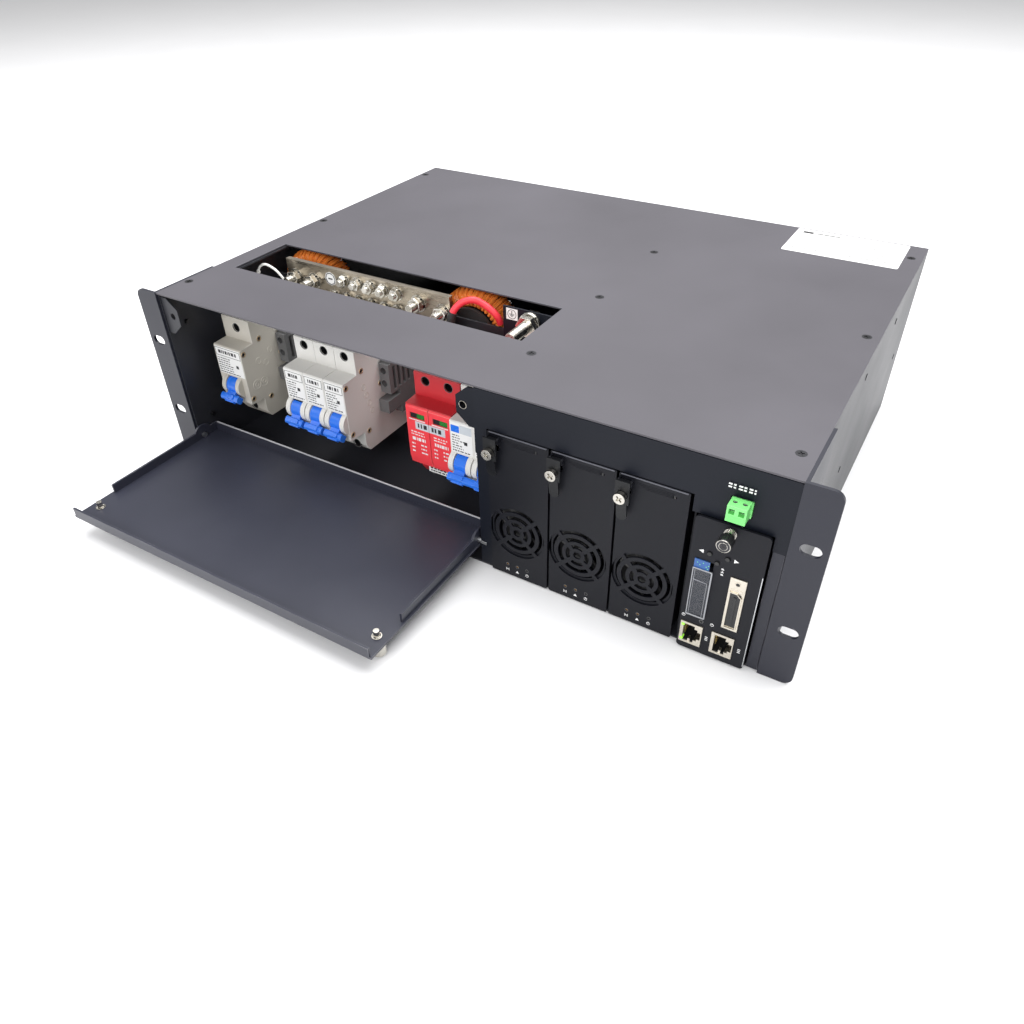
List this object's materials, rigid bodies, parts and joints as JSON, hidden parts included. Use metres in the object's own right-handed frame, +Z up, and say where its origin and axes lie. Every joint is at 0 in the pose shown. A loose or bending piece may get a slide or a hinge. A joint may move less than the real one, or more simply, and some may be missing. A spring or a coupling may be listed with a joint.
{
  "type": "rackmount ups",
  "caption": "Rack power system: breaker compartment behind a drop-down door, plug-in rectifiers with fan grilles and a plug-in controller.",
  "frame": {"origin": "centre of the four rack slots, on the plane where the ears' rear faces meet the rack rails", "axes": "+X to the right seen from the front, +Y back into the rack, +Z up"},
  "size_m": [0.4826, 0.4461, 0.133],
  "materials": {
    "chassis_paint": "fine textured powder coat",
    "cover_paint": "fine textured powder coat",
    "front_paint": "satin powder coat",
    "door_paint": "satin powder coat",
    "module_paint": "fine textured powder coat",
    "zinc": "zinc plated",
    "nickel": "nickel plated",
    "bus_metal": "tin plated",
    "board": "solder mask",
    "breaker_grey": "moulded",
    "breaker_white": "moulded",
    "toggle_blue": "moulded",
    "surge_red": "moulded",
    "surge_dark": "moulded",
    "clip_grey": "moulded",
    "post_red": "moulded",
    "coil_copper": "enamelled winding",
    "wire_red": "insulation",
    "wire_white": "insulation",
    "screw_black": "blackened",
    "fan_black": "moulded",
    "display": "clear window over a dark display",
    "socket_shell": "tinned shell",
    "button_black": "moulded",
    "plug_green": "moulded"
  },
  "bodies": {
    "chassis": {"chassis_tray": "chassis_paint", "rear_panel": "chassis_paint", "top_cover": "cover_paint", "front_panel": "front_paint", "ear_left": "front_paint", "ear_right": "front_paint", "bay_divider": "chassis_paint", "bay_guides": "zinc", "backplane": "board", "rail_bracket": "chassis_paint", "din_rail": "zinc", "end_brackets": "clip_grey", "battery_breaker": "breaker_grey", "load_breaker_1": "breaker_white", "load_breaker_2": "breaker_white", "load_breaker_3": "breaker_white", "mains_breaker": "breaker_white", "surge_base": "surge_dark", "bus_bar": "bus_metal", "bus_bar_posts": "post_red", "bus_bar_bolts": "zinc", "chokes": "coil_copper", "earth_bracket": "front_paint", "earth_stud": "zinc", "battery_wire": "wire_red", "sense_wire": "wire_white", "hinge_pins": "zinc", "cover_screws": "screw_black", "ear_screws": "screw_black", "input_header": "plug_green"},
    "door": {"door": "door_paint"},
    "door_screw_left": {"door_screw_left": "nickel"},
    "door_screw_right": {"door_screw_right": "nickel"},
    "battery_toggle": {"battery_toggle": "toggle_blue"},
    "load_toggle_1": {"load_toggle_1": "toggle_blue"},
    "load_toggle_2": {"load_toggle_2": "toggle_blue"},
    "load_toggle_3": {"load_toggle_3": "toggle_blue"},
    "mains_toggle": {"mains_toggle": "toggle_blue"},
    "surge_cartridge_1": {"surge_cartridge_1": "surge_red"},
    "surge_cartridge_2": {"surge_cartridge_2": "surge_red"},
    "rectifier_1": {"rectifier_1": "module_paint"},
    "latch_1": {"latch_1": "module_paint"},
    "latch_screw_1": {"latch_screw_1": "nickel"},
    "fan_rotor_1": {"fan_rotor_1": "fan_black"},
    "rectifier_2": {"rectifier_2": "module_paint"},
    "latch_2": {"latch_2": "module_paint"},
    "latch_screw_2": {"latch_screw_2": "nickel"},
    "fan_rotor_2": {"fan_rotor_2": "fan_black"},
    "rectifier_3": {"rectifier_3": "module_paint"},
    "latch_3": {"latch_3": "module_paint"},
    "latch_screw_3": {"latch_screw_3": "nickel"},
    "fan_rotor_3": {"fan_rotor_3": "fan_black"},
    "controller": {"controller": "module_paint", "controller_display": "display", "controller_sockets": "socket_shell"},
    "controller_screw": {"controller_screw": "screw_black"},
    "button_left": {"button_left": "button_black"},
    "button_right": {"button_right": "button_black"},
    "button_escape": {"button_escape": "button_black"},
    "input_plug": {"input_plug": "plug_green"}
  },
  "joints": [
    {"name": "door_hinge", "type": "hinge", "parent": "chassis", "child": "door", "pos_m": [-0.0922, 0.0017, -0.0493], "axis": [1, 0, 0], "range_deg": [-90, 0]},
    {"name": "door_screw_left_turn", "type": "hinge", "parent": "door", "child": "door_screw_left", "pos_m": [-0.213, -0.0976, -0.0515], "axis": [0, 0, 1], "continuous": true},
    {"name": "door_screw_right_turn", "type": "hinge", "parent": "door", "child": "door_screw_right", "pos_m": [0.0287, -0.0976, -0.0515], "axis": [0, 0, 1], "continuous": true},
    {"name": "battery_toggle_throw", "type": "hinge", "parent": "chassis", "child": "battery_toggle", "pos_m": [-0.1947, 0.0255, -0.0105], "axis": [-1, 0, 0], "range_deg": [0, 84]},
    {"name": "load_toggle_1_throw", "type": "hinge", "parent": "chassis", "child": "load_toggle_1", "pos_m": [-0.1286, 0.0235, -0.0105], "axis": [-1, 0, 0], "range_deg": [0, 84]},
    {"name": "load_toggle_2_throw", "type": "hinge", "parent": "chassis", "child": "load_toggle_2", "pos_m": [-0.1106, 0.0235, -0.0105], "axis": [-1, 0, 0], "range_deg": [0, 84]},
    {"name": "load_toggle_3_throw", "type": "hinge", "parent": "chassis", "child": "load_toggle_3", "pos_m": [-0.0926, 0.0235, -0.0105], "axis": [-1, 0, 0], "range_deg": [0, 84]},
    {"name": "mains_toggle_throw", "type": "hinge", "parent": "chassis", "child": "mains_toggle", "pos_m": [0.0206, 0.0235, -0.0105], "axis": [-1, 0, 0], "range_deg": [0, 84]},
    {"name": "surge_cartridge_1_pull", "type": "slide", "parent": "chassis", "child": "surge_cartridge_1", "axis": [0, -1, 0], "range_m": [0, 0.055]},
    {"name": "surge_cartridge_2_pull", "type": "slide", "parent": "chassis", "child": "surge_cartridge_2", "axis": [0, -1, 0], "range_m": [0, 0.055]},
    {"name": "rectifier_1_pull", "type": "slide", "parent": "chassis", "child": "rectifier_1", "axis": [0, -1, 0], "range_m": [0, 0.2]},
    {"name": "latch_1_swing", "type": "hinge", "parent": "rectifier_1", "child": "latch_1", "pos_m": [0.0514, -0.0042, 0.0361], "axis": [-1, 0, 0], "range_deg": [0, 65]},
    {"name": "latch_screw_1_turn", "type": "hinge", "parent": "latch_1", "child": "latch_screw_1", "pos_m": [0.0514, -0.008, 0.0297], "axis": [0, 1, 0], "continuous": true},
    {"name": "fan_1_spin", "type": "hinge", "parent": "rectifier_1", "child": "fan_rotor_1", "pos_m": [0.0655, 0.0055, -0.0293], "axis": [0, 1, 0], "continuous": true},
    {"name": "rectifier_2_pull", "type": "slide", "parent": "chassis", "child": "rectifier_2", "axis": [0, -1, 0], "range_m": [0, 0.2]},
    {"name": "latch_2_swing", "type": "hinge", "parent": "rectifier_2", "child": "latch_2", "pos_m": [0.09285, -0.0042, 0.0361], "axis": [-1, 0, 0], "range_deg": [0, 65]},
    {"name": "latch_screw_2_turn", "type": "hinge", "parent": "latch_2", "child": "latch_screw_2", "pos_m": [0.09285, -0.008, 0.0297], "axis": [0, 1, 0], "continuous": true},
    {"name": "fan_2_spin", "type": "hinge", "parent": "rectifier_2", "child": "fan_rotor_2", "pos_m": [0.10695, 0.0055, -0.0293], "axis": [0, 1, 0], "continuous": true},
    {"name": "rectifier_3_pull", "type": "slide", "parent": "chassis", "child": "rectifier_3", "axis": [0, -1, 0], "range_m": [0, 0.2]},
    {"name": "latch_3_swing", "type": "hinge", "parent": "rectifier_3", "child": "latch_3", "pos_m": [0.1343, -0.0042, 0.0361], "axis": [-1, 0, 0], "range_deg": [0, 65]},
    {"name": "latch_screw_3_turn", "type": "hinge", "parent": "latch_3", "child": "latch_screw_3", "pos_m": [0.1343, -0.008, 0.0297], "axis": [0, 1, 0], "continuous": true},
    {"name": "fan_3_spin", "type": "hinge", "parent": "rectifier_3", "child": "fan_rotor_3", "pos_m": [0.1484, 0.0055, -0.0293], "axis": [0, 1, 0], "continuous": true},
    {"name": "controller_pull", "type": "slide", "parent": "chassis", "child": "controller", "axis": [0, -1, 0], "range_m": [0, 0.2]},
    {"name": "controller_screw_turn", "type": "hinge", "parent": "controller", "child": "controller_screw", "pos_m": [0.1939, -0.01, 0.0265], "axis": [0, 1, 0], "continuous": true},
    {"name": "button_left_press", "type": "slide", "parent": "controller", "child": "button_left", "axis": [0, 1, 0], "range_m": [0, 0.0007], "stiffness_N_per_m": 150},
    {"name": "button_right_press", "type": "slide", "parent": "controller", "child": "button_right", "axis": [0, 1, 0], "range_m": [0, 0.0007], "stiffness_N_per_m": 150},
    {"name": "button_escape_press", "type": "slide", "parent": "controller", "child": "button_escape", "axis": [0, 1, 0], "range_m": [0, 0.0007], "stiffness_N_per_m": 150},
    {"name": "input_plug_pull", "type": "slide", "parent": "chassis", "child": "input_plug", "axis": [0, -1, 0], "range_m": [0, 0.012]}
  ]
}
